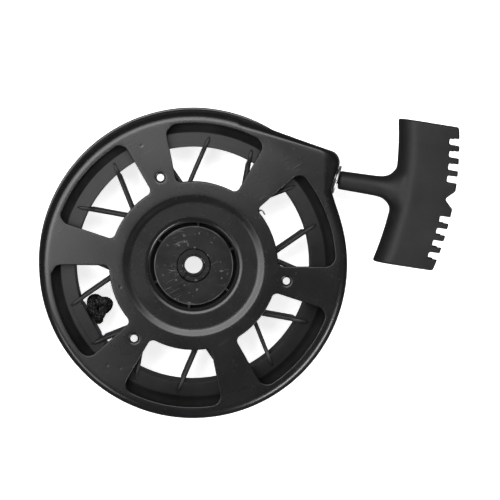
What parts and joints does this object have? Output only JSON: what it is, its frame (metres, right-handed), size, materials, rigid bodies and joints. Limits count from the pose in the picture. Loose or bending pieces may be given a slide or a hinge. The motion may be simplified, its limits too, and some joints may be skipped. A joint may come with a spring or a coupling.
{
  "type": "recoil starter",
  "caption": "Pull-cord recoil starter: a round stamped cover with windows and a rope nose, a ribbed rope pulley inside, and a T handle.",
  "frame": {"origin": "crank axis in the plane of the rear flange", "axes": "+Z along the crank axis, out of the cover's face; +X towards the handle; +Y completes the right hand"},
  "size_m": [0.2351, 0.1748, 0.038],
  "materials": {
    "black_paint": "satin black paint on stamped steel",
    "black_plastic": "satin black moulded plastic",
    "dark_steel": "dark oiled steel, scratched",
    "zinc_plate": "bright zinc plate",
    "spring_steel": "tempered spring steel",
    "rope": "black braided starter rope"
  },
  "bodies": {
    "housing": {"housing_shell": "black_paint", "hub_disc": "dark_steel", "center_post": "dark_steel", "spring_pin": "spring_steel", "rope_eyelet": "zinc_plate", "rope_lead": "rope", "inner_washer": "zinc_plate", "outer_washer": "zinc_plate"},
    "pulley": {"pulley": "black_plastic", "spring_keeper": "zinc_plate", "mainspring": "spring_steel", "rope_coil": "rope", "pulley_knot": "rope", "dog_spring_1": "spring_steel", "dog_spring_2": "spring_steel"},
    "retainer": {"retainer": "zinc_plate", "brake_spring": "spring_steel"},
    "dog_1": {"dog_1": "dark_steel"},
    "dog_2": {"dog_2": "dark_steel"},
    "handle": {"handle": "black_plastic", "knot_washer": "zinc_plate", "handle_rope": "rope"}
  },
  "joints": [
    {"name": "pulley_spin", "type": "hinge", "parent": "housing", "child": "pulley", "pos_m": [0, 0, 0.02], "axis": [0, 0, -1], "range_deg": [0, 1620], "stiffness_Nm_per_rad": 0.03, "springref_deg": -916.73},
    {"name": "handle_pull", "type": "slide", "parent": "housing", "child": "handle", "axis": [0.9877, -0.1564, 0], "range_m": [0, 2.06]},
    {"name": "retainer_turn", "type": "hinge", "parent": "pulley", "child": "retainer", "pos_m": [0, 0, 0.0044], "axis": [0, 0, 1], "range_deg": [0, 30], "stiffness_Nm_per_rad": 0.02, "springref_deg": -28.65},
    {"name": "dog_1_swing", "type": "hinge", "parent": "pulley", "child": "dog_1", "pos_m": [-0.00382, 0.02167, 0.0076], "axis": [0, 0, 1], "range_deg": [0, 35.1]},
    {"name": "dog_2_swing", "type": "hinge", "parent": "pulley", "child": "dog_2", "pos_m": [0.00382, -0.02167, 0.0076], "axis": [0, 0, 1], "range_deg": [0, 35.1]}
  ],
  "couplings": [
    {"joint": "handle_pull", "follows": "pulley_spin", "m_per_rad": 0.0725},
    {"joint": "dog_1_swing", "follows": "retainer_turn", "ratio": 1.1667},
    {"joint": "dog_2_swing", "follows": "retainer_turn", "ratio": 1.1667}
  ]
}
